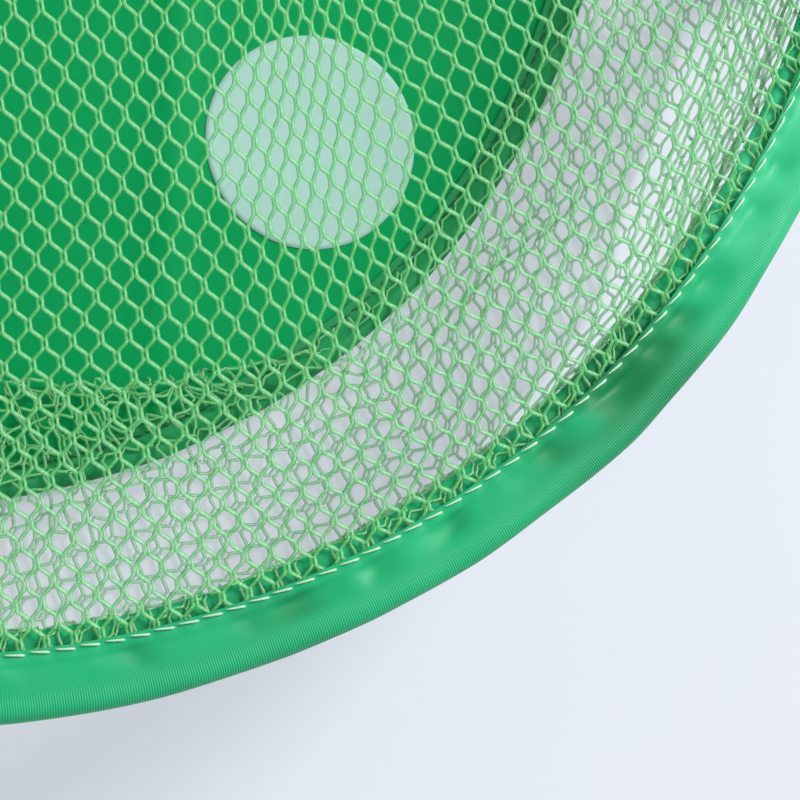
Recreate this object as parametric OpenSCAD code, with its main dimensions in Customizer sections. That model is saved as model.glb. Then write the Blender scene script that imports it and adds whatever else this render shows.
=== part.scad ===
// Small foldable roundnet: a sewn net ring on four folding legs, with a slack mesh skirt
// that runs down to a round ground panel. Millimetres, +Z up, floor at z = 0, and the
// ring's axis is the Z axis.

/* [Rim] */
// Radius of the sewn line that holds the net in the rim binding
stitch_radius = 210; // [190:1:300]
// Height of the rim hoop's centre above the floor
rim_height = 75; // [62:1:110]
// Diameter of the spring wire in the rim
rim_wire_d = 3.5; // [2.5:0.1:4]
// Width of the binding seen outside the sewn line
binding_reach = 13.6; // [12:0.1:18]
// Width of the binding's lower layer inside the sewn line
binding_lap = 4.5; // [3:0.1:6]
// Thickness of the binding tape
tape_t = 0.6; // [0.4:0.05:0.8]

/* [Net] */
// Distance between the middles of two neighbouring gaps, each of which stands for about 18 small ones
net_pitch = 24; // [24:0.5:32]
// Width of a net strand
strand_w = 2.2; // [1.5:0.1:3]
// Direction of the net's rows
net_turn = 6; // [-30:1:30]
// Thickness of the net and of the skirt
mesh_t = 0.8; // [0.5:0.05:1]

/* [Base] */
// How far the base ring's edge lies inside the rim's sewn line
base_inset = 34; // [28:1:50]
// Diameter of the spring wire in the base ring
base_wire_d = 2.4; // [2:0.1:3]
// Thickness of the ground panel's cloth
panel_t = 0.7; // [0.4:0.05:0.9]
// Number of round spots on the ground panel
spot_count = 4; // [3:1:5]
// Radius of a spot
spot_r = 25.5; // [18:0.5:28]
// Distance of a spot's middle from the ring's axis, as far as the panel's flat part allows
spot_orbit = 134; // [90:1:135]
// Direction of the first spot
spot_turn = -41; // [-180:1:180]

/* [Skirt] */
// Number of folds round the skirt
skirt_folds = 8; // [6:1:10]
// How far a fold swings to each side
fold_depth = 1.6; // [0.4:0.1:2]

/* [Legs] */
// Number of legs
leg_count = 4; // [3:1:5]
// Direction of the first leg
leg_turn = -9.5; // [-40:0.5:40]
// Outer diameter of a leg tube
tube_d = 10; // [8:0.5:10]
// How far an open leg leans past upright, so that its load holds it on its stop
leg_lean = 5; // [3:0.5:8]
// Diameter of a hinge pin
pin_d = 4; // [3:0.1:4.5]
// Radial running clearance of a knuckle on its pin
pin_fit = 0.05; // [0.02:0.01:0.1]

/* [Hidden] */
$fn = 48;

// Colours of the pieces
tape_green = [0.22, 0.74, 0.52];
yarn_green = [0.55, 0.92, 0.60];
cloth_green = [0.11, 0.56, 0.31];
thread_pale = [0.86, 0.97, 0.88];
thread_green = [0.08, 0.36, 0.20];
spot_pale = [0.86, 0.93, 0.90];
plastic_green = [0.07, 0.36, 0.21];
rubber_dark = [0.10, 0.11, 0.11];
steel = [0.72, 0.73, 0.75];

// Clearances between pieces of one body
lie_gap = 0.05;              // between layers that are sewn together
wire_gap = 0.1;              // round a ferrule, inside the tape
ferrule_wall = 0.5;
ferrule_length = 14;
wire_end_gap = 0.6;          // between the two ends of a hoop, inside its ferrule
seam_turn = 150;             // direction of the hoops' joints
thread_r = 0.3;
roll_steps = 16;             // straight steps round a rolled edge

// Rim: a tape folded round the hoop, with the net and the skirt sewn between its layers
rim_channel = rim_wire_d / 2 + ferrule_wall + wire_gap;
rim_roll = rim_channel + tape_t;
hoop_r = stitch_radius + binding_reach - rim_roll;
rim_slot = mesh_t + 2 * lie_gap;
rim_flat = rim_slot + tape_t;
top_layer_in = stitch_radius - 0.9;
low_layer_in = stitch_radius - binding_lap;
flat_out = stitch_radius + 2.6;
hem_out = stitch_radius + 2;

// Base ring: the same tape folded round a thinner hoop, with the panel's edge between
base_r = stitch_radius - base_inset;
base_channel = base_wire_d / 2 + ferrule_wall + wire_gap;
base_roll = base_channel + tape_t;
base_hoop_r = base_r - base_roll;
base_slot_top = tape_t + panel_t + 2 * lie_gap;
base_flat = base_slot_top + tape_t;
base_seam_r = base_r - 6.6;
base_layer_in = base_r - 8.6;
base_flat_out = base_r - 6;
panel_edge = base_r - 4.6;
panel_step_out = base_layer_in - 1;
panel_step_in = panel_step_out - 2;
spot_t = 0.3;
spot_middle = min(spot_orbit, panel_step_in - spot_r - 2);

// Skirt: a closed sheet that hangs from the rim, bellies out and lies slack on the floor
skirt_steps = 64;
skirt_drop_r = low_layer_in - mesh_t / 2 - 0.5;
skirt_hem_z = rim_height - mesh_t / 2 - lie_gap;
// Each row is [radius, height, share of the fold's depth]
skirt_line = [
    [base_r - 5.6, base_flat + 1.7, 0],
    [base_r - 1.4, 2 * base_roll + 1.6, 0],
    [base_r + 3, 3.4, 0.5],
    [base_r + 10, 2.8, 0.8],
    [skirt_drop_r - 7, 3, 1],
    [skirt_drop_r + 0.4, 6, 0.9],
    [skirt_drop_r + 3.2, rim_height * 0.2, 0.7],
    [skirt_drop_r + 3.6, rim_height * 0.45, 0.9],
    [skirt_drop_r + 1.8, rim_height * 0.76, 0.5],
    [skirt_drop_r, rim_height - 6, 0.1],
    [skirt_drop_r, skirt_hem_z, 0],
    [stitch_radius + 1, skirt_hem_z, 0]];

// Leg clamp: two halves round the bound hoop, screwed together outside it
clamp_half_t = 6;
clamp_split = 0.3;
clamp_in = -8;
clamp_out = 12;
clamp_w = 22;
clamp_corner = 3;
clamp_grip_gap = 0.15;
screw_x = 7.6;
screw_y = 6.5;
screw_r = 1.5;
screw_head_r = 2.8;
screw_head_t = 2.2;
screw_sunk = 2.5;
screw_length = 8;

// Leg hinge: a knuckle on a pin between two cheeks, under the clamp's lower half
knuckle_w = 8;
knuckle_r = 5.5;
side_gap = 0.2;
stop_gap = 0.05;
cheek_t = 3;
cheek_r = 6;
pin_head_r = 3.4;
pin_head_t = 1.2;
pin_seat_gap = 0.02;
pivot_drop = clamp_half_t + knuckle_r + stop_gap;
pivot_height = rim_height - pivot_drop;
cheek_out = knuckle_w / 2 + side_gap + cheek_t;

// Leg: a tube on the knuckle's plug, with a rubber foot cut level at the floor
leg_reach = pivot_height / cos(leg_lean);
leg_skew = -asin(leg_reach / 2 / hoop_r);
tube_wall = 1;
neck_end = 7;
collar_end = 9;
plug_end = 19;
foot_r = 7.5;
foot_sole = 6;
foot_start = leg_reach - 20;
tube_end = leg_reach - foot_sole;

// ---- Shared shapes ----

// Places a leg's pieces: x outwards, y along the rim, origin on the hoop's centre line
module at_leg(i) {
    rotate([0, 0, leg_turn - 360 / leg_count * (i - 1)])
        translate([hoop_r, 0, rim_height]) children();
}

// Places a hinge's pieces: x along the pin, turned so that a folded leg lies under the rim
module at_pivot(i) {
    at_leg(i) translate([0, 0, -pivot_drop]) rotate([0, 0, leg_skew]) children();
}

// A slab across the pin, drawn as [y, z] and centred on x
module across(width) {
    rotate([90, 0, 90]) linear_extrude(width, center = true) children();
}

// A rectangle from x0 to x1, centred on y, with round corners
module round_plan(x0, x1, width, corner) {
    translate([x0 + corner, -width / 2]) square([x1 - x0 - 2 * corner, width]);
    translate([x0, corner - width / 2]) square([x1 - x0, width - 2 * corner]);
    for (x = [x0 + corner, x1 - corner], side = [-1, 1])
        translate([x, side * (width / 2 - corner)]) circle(corner);
}

// A wire ring with a small opening at the seam
module open_ring(ring_r, z, wire_d) {
    opening = wire_end_gap / ring_r * 180 / PI;
    rotate([0, 0, seam_turn + opening / 2])
        rotate_extrude(angle = 360 - opening)
            translate([ring_r, z]) circle(wire_d / 2);
}

// A sleeve bent along a ring, centred on the seam
module ring_sleeve(ring_r, z, wire_d) {
    arc = ferrule_length / ring_r * 180 / PI;
    rotate([0, 0, seam_turn - arc / 2])
        rotate_extrude(angle = arc)
            translate([ring_r, z]) difference() {
                circle(wire_d / 2 + ferrule_wall);
                circle(wire_d / 2 + lie_gap);
            }
}

// A round of thread lying at a radius and height
module thread_ring(ring_r, z) {
    rotate_extrude() translate([ring_r, z]) circle(thread_r, $fn = 16);
}

// Points on an arc from one direction to another
function arc(centre, r, from, to) = [
    for (k = [0:roll_steps])
        let (a = from + (to - from) * k / roll_steps)
        centre + r * [cos(a), sin(a)]];

// Direction from a circle's centre to where a line from point p touches its upper side
function touch(p, centre, r) =
    let (away = p - centre)
    (atan2(away[1], away[0]) + 360) % 360 - acos(r / norm(away));

// A tape's path round the rim hoop, as [radius, height over the hoop's centre]
function rim_path(flat, r) =
    let (turn = touch([flat_out, flat], [hoop_r, 0], r))
    concat([[flat_out, flat]], arc([hoop_r, 0], r, turn, -turn), [[flat_out, -flat]]);

// A tape's path round the base hoop, from its underside to its upper layer
function base_path(bottom, flat, r) =
    let (turn = touch([base_flat_out, flat], [base_hoop_r, base_roll], r))
    concat([[base_layer_in, bottom]], arc([base_hoop_r, base_roll], r, -90, turn),
           [[base_flat_out, flat], [base_layer_in, flat]]);

function reversed(list) = [for (k = [len(list) - 1:-1:0]) list[k]];

// ---- Rim ----

module rim_hoop() {
    color(steel) open_ring(hoop_r, rim_height, rim_wire_d);
}

module rim_ferrule() {
    color(steel) ring_sleeve(hoop_r, rim_height, rim_wire_d);
}

module rim_binding() {
    color(tape_green) translate([0, 0, rim_height]) rotate_extrude() polygon(concat(
        [[top_layer_in, rim_slot], [top_layer_in, rim_flat]], rim_path(rim_flat, rim_roll),
        [[low_layer_in, -rim_flat], [low_layer_in, -rim_slot]],
        reversed(rim_path(rim_slot, rim_channel))));
}

module rim_stitching() {
    lift = rim_flat + thread_r + 0.02;
    color(thread_pale) for (side = [-1, 1]) thread_ring(stitch_radius, rim_height + side * lift);
}

// A flat net: a disc with rows of six-sided gaps inside a plain hem
module top_net() {
    mesh_r = top_layer_in - 2;
    rows = ceil(mesh_r / net_pitch / sin(60));
    gap_r = (net_pitch - strand_w) / sqrt(3);
    color(yarn_green) translate([0, 0, rim_height + lie_gap]) linear_extrude(mesh_t) difference() {
        circle(hem_out);
        intersection() {
            circle(mesh_r);
            rotate(net_turn) for (row = [-rows:rows], step = [-rows:rows]) {
                x = (step + (row % 2 == 0 ? 0 : 0.5)) * net_pitch;
                y = row * net_pitch * sin(60);
                if (norm([x, y]) < mesh_r - 2) translate([x, y]) rotate(30) circle(gap_r, $fn = 6);
            }
        }
    }
}

// ---- Skirt ----

// Unit normal of the skirt's line at a point, stretched so that a bend keeps its thickness
function unit(v) = v / norm(v);
function run(k) = unit([skirt_line[k + 1][0] - skirt_line[k][0], skirt_line[k + 1][1] - skirt_line[k][1]]);
function left_of(v) = [-v[1], v[0]];
function skirt_normal(k) =
    let (last = len(skirt_line) - 1,
         before = left_of(run(max(k - 1, 0))),
         after = left_of(run(min(k, last - 1))),
         middle = unit(before + after))
    middle / (middle * after);

// A point of the skirt: row k, step s round the ring, side -1 or 1 of the sheet
function skirt_point(k, s, side) =
    let (turn = 360 * s / skirt_steps,
         swing = fold_depth * skirt_line[k][2] * cos(turn * skirt_folds),
         away = skirt_normal(k) * (swing + side * mesh_t / 2),
         r = skirt_line[k][0] + away[0])
    [r * cos(turn), r * sin(turn), skirt_line[k][1] + away[1]];

module skirt_net() {
    rows = len(skirt_line);
    around = 2 * rows;
    points = [
        for (s = [0:skirt_steps - 1]) each concat(
            [for (k = [0:rows - 1]) skirt_point(k, s, 1)],
            [for (k = [rows - 1:-1:0]) skirt_point(k, s, -1)])];
    faces = [
        for (s = [0:skirt_steps - 1], k = [0:around - 1])
            let (here = s * around, next = (s + 1) % skirt_steps * around, up = (k + 1) % around)
            each [[here + k, next + k, next + up], [here + k, next + up, here + up]]];
    color(yarn_green) polyhedron(points, faces);
}

// ---- Base ----

module base_hoop() {
    color(steel) open_ring(base_hoop_r, base_roll, base_wire_d);
}

module base_ferrule() {
    color(steel) ring_sleeve(base_hoop_r, base_roll, base_wire_d);
}

module base_binding() {
    color(tape_green) rotate_extrude() polygon(concat(
        base_path(0, base_flat, base_roll),
        reversed(base_path(tape_t, base_slot_top, base_channel))));
}

module base_stitching() {
    color(thread_green) thread_ring(base_seam_r, base_flat + thread_r + 0.02);
}

// The panel's cloth lies on the floor and steps up over the binding's lower layer
module ground_panel() {
    step = tape_t + lie_gap;
    color(cloth_green) rotate_extrude() polygon([
        [0, 0], [panel_step_in, 0], [panel_step_out, step], [panel_edge, step],
        [panel_edge, step + panel_t], [panel_step_out, step + panel_t],
        [panel_step_in, panel_t], [0, panel_t]]);
}

module spot(i) {
    color(spot_pale) rotate([0, 0, spot_turn + 360 / spot_count * (i - 1)])
        translate([spot_middle, 0, panel_t]) cylinder(h = spot_t, r = spot_r);
}

// ---- Legs ----

// The hollow that the bound hoop leaves in a clamp
module grip_hollow() {
    translate([-hoop_r, 0, 0]) rotate_extrude() polygon(concat(
        [[low_layer_in, rim_flat + clamp_grip_gap]],
        rim_path(rim_flat + clamp_grip_gap, rim_roll + clamp_grip_gap),
        [[low_layer_in, -rim_flat - clamp_grip_gap]]));
}

module clamp_cap(i) {
    color(plastic_green) at_leg(i) difference() {
        translate([0, 0, clamp_split / 2]) linear_extrude(clamp_half_t - clamp_split / 2)
            round_plan(clamp_in, clamp_out, clamp_w, clamp_corner);
        grip_hollow();
        for (side = [-1, 1]) translate([screw_x, side * screw_y, 0]) {
            translate([0, 0, -1]) cylinder(h = clamp_half_t + 2, r = screw_r + 0.15);
            translate([0, 0, clamp_half_t - screw_sunk]) cylinder(h = screw_sunk + 1, r = screw_head_r + 0.25);
        }
    }
}

module leg_fork(i) {
    fuse = 1;
    color(plastic_green) difference() {
        union() {
            at_leg(i) translate([0, 0, -clamp_half_t]) linear_extrude(clamp_half_t - clamp_split / 2)
                round_plan(clamp_in, clamp_out, clamp_w, clamp_corner);
            at_pivot(i) for (side = [-1, 1])
                translate([side * (cheek_out - cheek_t / 2), 0, 0]) across(cheek_t) {
                    circle(cheek_r);
                    translate([-cheek_r, 0]) square([2 * cheek_r, knuckle_r + stop_gap + fuse]);
                }
        }
        at_leg(i) {
            grip_hollow();
            for (side = [-1, 1]) translate([screw_x, side * screw_y, screw_sunk - screw_length - 0.5])
                cylinder(h = screw_length, r = screw_r + lie_gap);
        }
        at_pivot(i) rotate([0, 90, 0])
            cylinder(h = 2 * cheek_out + 2, r = pin_d / 2 + pin_seat_gap, center = true);
    }
}

module clamp_screws() {
    head_z = clamp_half_t - screw_sunk + 0.02;
    color(steel) for (i = [1:leg_count], side = [-1, 1])
        at_leg(i) translate([screw_x, side * screw_y, head_z]) difference() {
            union() {
                translate([0, 0, -screw_length]) cylinder(h = screw_length + 0.1, r = screw_r);
                cylinder(h = screw_head_t, r = screw_head_r);
            }
            translate([0, 0, screw_head_t - 1.2]) cylinder(h = 2, r = 1.4, $fn = 6);
        }
}

module hinge_pin(i) {
    shank = 2 * cheek_out + 2 * lie_gap;
    color(steel) at_pivot(i) rotate([0, 90, 0]) {
        cylinder(h = shank, r = pin_d / 2, center = true);
        for (side = [-1, 1]) translate([0, 0, side * (shank + pin_head_t) / 2])
            cylinder(h = pin_head_t, r = pin_head_r, center = true);
    }
}

// The knuckle's square upper corner meets the clamp's underside and stops the open leg
module leg_knuckle(i) {
    color(plastic_green) at_pivot(i) difference() {
        union() {
            across(knuckle_w) {
                circle(knuckle_r);
                square([knuckle_r, knuckle_r]);
                rotate(leg_lean) translate([-knuckle_w / 2, -neck_end]) square([knuckle_w, neck_end]);
            }
            rotate([180 + leg_lean, 0, 0]) {
                translate([0, 0, neck_end - 0.5])
                    cylinder(h = collar_end - neck_end + 0.5, r = tube_d / 2);
                cylinder(h = plug_end, r = tube_d / 2 - tube_wall - lie_gap);
            }
        }
        rotate([0, 90, 0]) cylinder(h = knuckle_w + 2, r = pin_d / 2 + pin_fit, center = true);
    }
}

module leg_tube(i) {
    color(steel) at_pivot(i) rotate([180 + leg_lean, 0, 0]) translate([0, 0, collar_end]) difference() {
        cylinder(h = tube_end - collar_end, r = tube_d / 2);
        translate([0, 0, -1]) cylinder(h = tube_end - collar_end + 2, r = tube_d / 2 - tube_wall);
    }
}

module leg_foot(i) {
    grip = 8;
    color(rubber_dark) difference() {
        at_pivot(i) rotate([180 + leg_lean, 0, 0]) difference() {
            union() {
                translate([0, 0, foot_start]) cylinder(h = grip, r1 = tube_d / 2 + 1.2, r2 = foot_r);
                translate([0, 0, foot_start + grip]) cylinder(h = leg_reach - foot_start, r = foot_r);
            }
            translate([0, 0, foot_start - 1])
                cylinder(h = tube_end - foot_start + 1 + lie_gap, r = tube_d / 2 + lie_gap);
        }
        translate([-2 * hoop_r, -2 * hoop_r, -50]) cube([4 * hoop_r, 4 * hoop_r, 50]);
    }
}

rim_hoop();
rim_ferrule();
rim_binding();
rim_stitching();
top_net();
skirt_net();
base_hoop();
base_ferrule();
base_binding();
base_stitching();
ground_panel();
clamp_screws();
for (i = [1:spot_count]) spot(i);
for (i = [1:leg_count]) clamp_cap(i);
for (i = [1:leg_count]) leg_fork(i);
for (i = [1:leg_count]) hinge_pin(i);
for (i = [1:leg_count]) leg_knuckle(i);
for (i = [1:leg_count]) leg_tube(i);
for (i = [1:leg_count]) leg_foot(i);
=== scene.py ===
"""Looks of a small foldable roundnet hoop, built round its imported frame.

Metres, +Z up, floor at z = 0, the ring's axis is the Z axis. The soft pieces are laid out in
millimetres: two knitted nets, the two folded tapes, their stitching, the ground cloth and its
spots. The wires, ferrules and legs are the frame's own nodes and only get their finishes.
"""
import logging
import math
from dataclasses import dataclass, field
from enum import Enum
from typing import Callable, Sequence

import bpy
import numpy as np
from mathutils import Matrix, Vector


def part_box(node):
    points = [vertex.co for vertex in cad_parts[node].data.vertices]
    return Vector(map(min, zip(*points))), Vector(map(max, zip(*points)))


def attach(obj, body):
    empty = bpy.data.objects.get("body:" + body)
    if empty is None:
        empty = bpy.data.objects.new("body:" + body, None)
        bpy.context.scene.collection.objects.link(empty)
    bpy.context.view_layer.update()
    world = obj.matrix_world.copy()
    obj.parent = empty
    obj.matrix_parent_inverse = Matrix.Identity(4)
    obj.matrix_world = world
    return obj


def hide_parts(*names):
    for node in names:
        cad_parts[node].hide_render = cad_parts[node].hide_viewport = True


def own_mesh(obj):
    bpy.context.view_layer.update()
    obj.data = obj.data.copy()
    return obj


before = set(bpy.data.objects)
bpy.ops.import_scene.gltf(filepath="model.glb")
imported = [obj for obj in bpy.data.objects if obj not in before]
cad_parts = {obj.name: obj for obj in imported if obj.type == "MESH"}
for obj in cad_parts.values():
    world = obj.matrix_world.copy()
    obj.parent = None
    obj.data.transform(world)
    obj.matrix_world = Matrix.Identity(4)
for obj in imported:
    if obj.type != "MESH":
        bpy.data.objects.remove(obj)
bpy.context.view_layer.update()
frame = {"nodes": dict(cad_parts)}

LOG = logging.getLogger("roundnet")
MM = 0.001
TAU = 2 * math.pi
Array = np.ndarray
Piece = bpy.types.Object
Socket = bpy.types.NodeSocket
Value = Socket | float | tuple


@dataclass(frozen=True)
class RingPlan:
    """Sizes that the soft pieces share with the frame, in millimetres."""

    stitch_r: float = 210.0
    stitch_pitch: float = 5.2
    rim_z: float = 75.0
    hoop_r: float = 220.65
    rim_roll: float = 2.65
    tape_t: float = 0.6
    flap_z: float = 1.2
    top_layer_in: float = 209.2
    low_layer_in: float = 205.5
    flat_out: float = 212.6
    base_r: float = 176.0
    base_seam_r: float = 169.4
    base_layer_in: float = 167.4
    base_hoop_r: float = 173.6
    base_roll: float = 2.1
    base_roll_z: float = 2.4
    least_z: float = 0.02
    seam_z: float = 1.78
    base_seam_z: float = 2.2
    seam_turn: float = math.radians(150)


PLAN = RingPlan()


class Body(Enum):
    """The frame's bodies that the soft pieces ride on."""

    RIM = "rim"
    BASE = "base"


# ---- Shared sums ----

def smoothstep(x: Array) -> Array:
    """A ramp from 0 to 1 with level ends."""
    x = np.clip(x, 0, 1)
    return x * x * (3 - 2 * x)


def past(x: Array, bend: float) -> Array:
    """The part of a value above zero, with a rounded bend of a width."""
    return 0.5 * (x + np.sqrt(x ** 2 + bend ** 2))


def unit(vectors: Array) -> Array:
    """The same directions with a length of 1."""
    return vectors / (np.linalg.norm(vectors, axis=-1, keepdims=True) + 1e-9)


def on_ring(radius: Array, angle: Array, height: Array) -> Array:
    """Points (..., 3) at a radius, an angle and a height round the ring's axis."""
    return np.stack(np.broadcast_arrays(radius * np.cos(angle), radius * np.sin(angle),
                                        height), -1)


def run_along(line: Array) -> Array:
    """Length along a line (point, 2) up to each of its points."""
    return np.concatenate([[0], np.cumsum(np.hypot(*np.diff(line, axis=0).T))])


def seeded_ripple(seed: int, count: int, longest: float, shortest: float) -> Callable:
    """Makes a smooth random field.

    Args:
        seed: Seed of the draw.
        count: Number of waves that are added up.
        longest: Longest wavelength, in millimetres.
        shortest: Shortest wavelength, in millimetres.

    Returns:
        A function of two arrays that gives values of about -1 to 1.
    """
    draw = np.random.default_rng(seed)
    length = np.exp(draw.uniform(math.log(shortest), math.log(longest), count))
    turn = draw.uniform(0, TAU, count)
    start = draw.uniform(0, TAU, count)

    def field_at(x: Array, y: Array) -> Array:
        """Adds up the waves.

        Args:
            x: Places across.
            y: Places along.

        Returns:
            Value of the field at each place.
        """
        total = np.zeros(np.broadcast(x, y).shape)
        for size, direction, phase in zip(length, turn, start):
            along = x * math.cos(direction) + y * math.sin(direction)
            total += np.sin(TAU * along / size + phase)
        return total / math.sqrt(count)

    return field_at


# ---- Mesh making ----

class MeshShop:
    """Turns arrays in millimetres into mesh objects that sit at the origin."""

    @staticmethod
    def make(name: str, points: Array, faces: list[Array], uvs: list[Array] | None = None,
             marks: dict[str, Array] | None = None) -> Piece:
        """Makes one mesh object.

        Args:
            name: The object's name.
            points: Points, in millimetres, one row each.
            faces: Arrays of corner numbers, one row a face.
            uvs: For each array in faces, the corners' (u, v) pairs.
            marks: Numbers that a material reads, by name, one for each point.

        Returns:
            The linked object, smooth shaded.
        """
        mesh = bpy.data.meshes.new(name)
        corners = np.concatenate([f.reshape(-1) for f in faces]).astype(np.int32)
        sizes = np.concatenate([np.full(len(f), f.shape[1]) for f in faces]).astype(np.int32)
        starts = np.concatenate([[0], np.cumsum(sizes)[:-1]]).astype(np.int32)
        mesh.vertices.add(len(points))
        mesh.vertices.foreach_set("co", (points * MM).astype(np.float32).reshape(-1))
        mesh.loops.add(len(corners))
        mesh.loops.foreach_set("vertex_index", corners)
        mesh.polygons.add(len(sizes))
        mesh.polygons.foreach_set("loop_start", starts)
        mesh.polygons.foreach_set("loop_total", sizes)
        mesh.polygons.foreach_set("use_smooth", np.ones(len(sizes), bool))
        if uvs is not None:
            layer = mesh.uv_layers.new(name="UVMap")
            flat = np.concatenate([u.reshape(-1, 2) for u in uvs]).astype(np.float32)
            layer.data.foreach_set("uv", flat.reshape(-1))
        for key, value in (marks or {}).items():
            mark = mesh.attributes.new(key, "FLOAT", "POINT")
            mark.data.foreach_set("value", value.astype(np.float32).reshape(-1))
        mesh.update(calc_edges=True)
        mesh.validate()
        made = bpy.data.objects.new(name, mesh)
        bpy.context.scene.collection.objects.link(made)
        return made

    @staticmethod
    def tape(name: str, path: Array, hand: int, turn: Array, lift: Array, spread: Array,
             length: float, fold: Array) -> Piece:
        """Makes a tape round the ring as one closed skin.

        Args:
            name: The object's name.
            path: Middle of the tape's section, as radii and heights.
            hand: 1 where the tape's outer face is to the left of the path, else -1.
            turn: Directions round the ring, one row each.
            lift: How far each point is lifted towards the outer face.
            spread: How far each point is moved away from the ring's axis.
            length: Length of the tape, for its texture.
            fold: A mark from the puckers that the tape's finish paints as a lighter highlight
                above 0 and as darker shade below 0.

        Returns:
            The tape's object.
        """
        ahead = unit(np.gradient(path, axis=0))
        normal = hand * np.stack([-ahead[:, 1], ahead[:, 0]], -1)
        skins = []
        for side in (0.5, -0.5):
            r, z = (path[:, n] + normal[:, n] * (side * PLAN.tape_t + lift) for n in (0, 1))
            skins.append(on_ring(r + spread, turn, np.maximum(z, PLAN.least_z)))
        points = np.concatenate([skins[0], skins[1][:, ::-1]], 1)
        rounds, section = points.shape[:2]
        i, j = np.meshgrid(np.arange(rounds), np.arange(section), indexing="ij")
        step = np.stack([np.stack([i + a, j + b], -1)
                         for a, b in ((0, 0), (1, 0), (1, 1), (0, 1))], 2).reshape(-1, 4, 2)
        quads = (step[..., 0] % rounds) * section + step[..., 1] % section
        across = run_along(path)
        width = np.concatenate([across, across[::-1], across[:1]])
        uv = np.stack([step[..., 0] / rounds * length, width[step[..., 1]]], -1)
        return MeshShop.make(name, points.reshape(-1, 3), [quads[:, ::hand]], [uv[:, ::hand]],
                             {"fold": np.concatenate([fold, fold[:, ::-1]], 1)})


@dataclass(frozen=True)
class Threads:
    """Threads where they lie, each line of points with the normal of its cloth, its radius, its
    length coordinate and its face mark from 0 to 1, which gives the yarn's lit colour at 1 and its
    painted shade at 0."""

    lines: Array
    up: Array
    radius: Array
    along: Array
    face: Array
    sides: int

    def strip(self, name: str, keep: Array, rows: Array) -> Piece:
        """Makes closed tubes round the kept stretches of some lines.

        Args:
            name: The object's name.
            keep: True where a point belongs to the cloth.
            rows: Numbers of the lines.

        Returns:
            The tubes' object.
        """
        def beside(kept: Array, step: int) -> Array:
            """Whether the point before (1) or after (-1) each point is kept."""
            return np.pad(kept, ((0, 0), (1, 1)))[:, 1 - step:kept.shape[1] + 1 - step]

        lines, up, radius, along, keep = (
            value[rows] for value in (self.lines, self.up, self.radius, self.along, keep))
        tangent = unit(np.gradient(lines, axis=1))
        across = unit(np.cross(tangent, up))
        rise = np.cross(across, tangent)
        side = np.arange(self.sides)
        turn = (side * TAU / self.sides + math.pi / 2)[:, None]
        offset = across[:, :, None] * np.cos(turn) + rise[:, :, None] * np.sin(turn)
        rings = lines[:, :, None] + offset * radius[:, :, None, None]
        keep = keep & (beside(keep, 1) | beside(keep, -1))
        number = (np.cumsum(keep.reshape(-1)).reshape(keep.shape) - 1) * self.sides
        joined = keep[:, :-1] & keep[:, 1:]
        ends = (np.s_[:, :-1], np.s_[:, 1:])
        low, high = (number[part][joined][:, None] for part in ends)
        u0, u1 = (along[part][joined][:, None] for part in ends)
        v0, v1 = (side / self.sides)[None], ((side + 1) / self.sides)[None]
        after = (side + 1) % self.sides
        quads = np.stack([low + side, low + after, high + after, high + side], -1)
        uv = np.stack([np.stack(np.broadcast_arrays(u, v), -1)
                       for u, v in ((u0, v0), (u0, v1), (u1, v1), (u1, v0))], 2)
        caps = [number[keep & ~beside(keep, step)][:, None] + order
                for step, order in ((1, side), (-1, side[::-1]))]
        return MeshShop.make(name, rings[keep].reshape(-1, 3),
                             [quads.reshape(-1, 4)[:, ::-1], *caps],
                             [uv.reshape(-1, 4, 2)[:, ::-1],
                              *(np.zeros((*cap.shape, 2)) for cap in caps)],
                             {"face": np.repeat(self.face[rows][keep], self.sides)})

    def strips(self, name: str, keep: Array, parts: int) -> list[Piece]:
        """Makes the kept stretches of all lines, in parts with as much thread each.

        Args:
            name: Start of the parts' names.
            keep: True where a point belongs to the cloth.
            parts: Number of parts.

        Returns:
            The parts' objects.
        """
        weight = np.cumsum(keep.sum(1)) / keep.sum()
        ends = np.arange(parts + 1) / parts
        return [self.strip(f"{name}_{part + 1}", keep, np.nonzero(
            (weight > ends[part]) & (weight <= ends[part + 1]) & keep.any(1))[0])
                for part in range(parts)]


# ---- Finishes ----

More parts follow.
